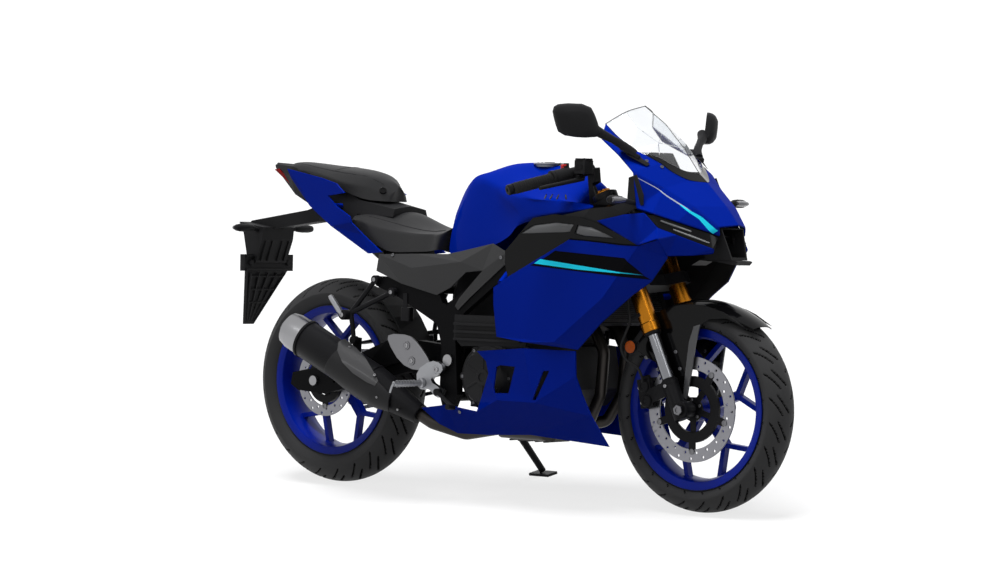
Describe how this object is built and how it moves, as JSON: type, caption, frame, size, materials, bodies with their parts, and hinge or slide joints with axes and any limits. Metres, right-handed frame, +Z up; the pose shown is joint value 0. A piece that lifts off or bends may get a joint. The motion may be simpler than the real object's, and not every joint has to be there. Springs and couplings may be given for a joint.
{
  "type": "sport motorcycle",
  "caption": "Fully faired sport motorcycle with turning wheels, steered fork, side stand and hinged filler cap, parked on its stand.",
  "frame": {"origin": "centre of the whole outline on the floor that the tyres and the side stand rest on", "axes": "+X forward along the machine, +Y to the rider's left, towards which it leans on its stand, +Z up"},
  "size_m": [2.0898, 0.7948, 1.1842],
  "materials": {
    "blue_paint": "gloss",
    "blue_plastic": "gloss",
    "black_plastic": "matt",
    "black_gloss": "gloss",
    "black_metal": "satin",
    "gold": "anodised satin",
    "bright_steel": "polished",
    "steel": "brushed",
    "alloy": "satin",
    "engine_black": "satin",
    "tyre": "matt",
    "grip_rubber": "matt",
    "seat_foam": "matt",
    "clear": "clear",
    "lamp_black": "gloss",
    "lamp_red": "gloss",
    "reflector": "gloss",
    "shield_grey": "satin"
  },
  "bodies": {
    "chassis": {"frame": "black_metal", "swingarm": "black_metal", "axles": "steel", "shock": "black_metal", "engine": "engine_black", "engine_covers": "engine_black", "radiator": "black_metal", "exhaust_headers": "steel", "muffler": "black_metal", "muffler_cap": "steel", "muffler_shield": "shield_grey", "fuel_tank": "blue_paint", "rider_seat": "seat_foam", "pillion_seat": "seat_foam", "tail_core": "black_plastic", "tail_sides": "blue_plastic", "tail_light": "lamp_red", "plate_holder": "black_plastic", "turn_signals": "black_plastic", "side_covers": "black_plastic", "main_fairings": "blue_plastic", "lower_cowls": "blue_plastic", "upper_cowl": "blue_plastic", "cheeks": "blue_plastic", "headlights": "lamp_black", "nose_intake": "black_plastic", "duct_panels": "black_gloss", "inner_trims": "black_plastic", "windscreen": "clear", "dash": "black_plastic", "mirrors": "black_plastic", "footrests": "alloy", "foot_levers": "black_metal", "chain": "steel", "front_sprocket": "steel", "rear_brake": "black_metal", "hugger": "black_plastic"},
    "fork": {"triple_clamps": "black_metal", "outer_tubes": "gold", "inner_tubes": "bright_steel", "axle_lugs": "black_metal", "front_caliper": "black_metal", "front_fender": "black_gloss", "handlebars": "black_metal", "grips": "grip_rubber", "bar_controls": "black_plastic", "reflectors": "reflector"},
    "front_wheel": {"front_tyre": "tyre", "front_rim": "blue_paint", "front_disc": "steel"},
    "rear_wheel": {"rear_tyre": "tyre", "rear_rim": "blue_paint", "rear_disc": "steel", "rear_sprocket": "steel"},
    "side_stand": {"side_stand": "black_metal"},
    "filler_cap": {"filler_cap": "black_metal"}
  },
  "joints": [
    {"name": "steering", "type": "hinge", "parent": "chassis", "child": "fork", "pos_m": [0.49623, -0.03768, 0.74196], "axis": [-0.4226, 0.1574, 0.8925], "range_deg": [-25, 25]},
    {"name": "front_wheel_spin", "type": "hinge", "parent": "fork", "child": "front_wheel", "pos_m": [0.752, -0.11742, 0.2897], "axis": [0, 0.9848, -0.1736], "continuous": true},
    {"name": "rear_wheel_spin", "type": "hinge", "parent": "chassis", "child": "rear_wheel", "pos_m": [-0.628, -0.11377, 0.31038], "axis": [0, 0.9848, -0.1736], "continuous": true},
    {"name": "stand_fold", "type": "hinge", "parent": "chassis", "child": "side_stand", "pos_m": [-0.083, -0.00126, 0.21134], "axis": [0.1926, 0.8726, 0.4489], "range_deg": [0, 95]},
    {"name": "filler_lid", "type": "hinge", "parent": "chassis", "child": "filler_cap", "pos_m": [0.218, 0.00187, 0.96627], "axis": [0, 0.9848, -0.1736], "range_deg": [0, 95]}
  ]
}
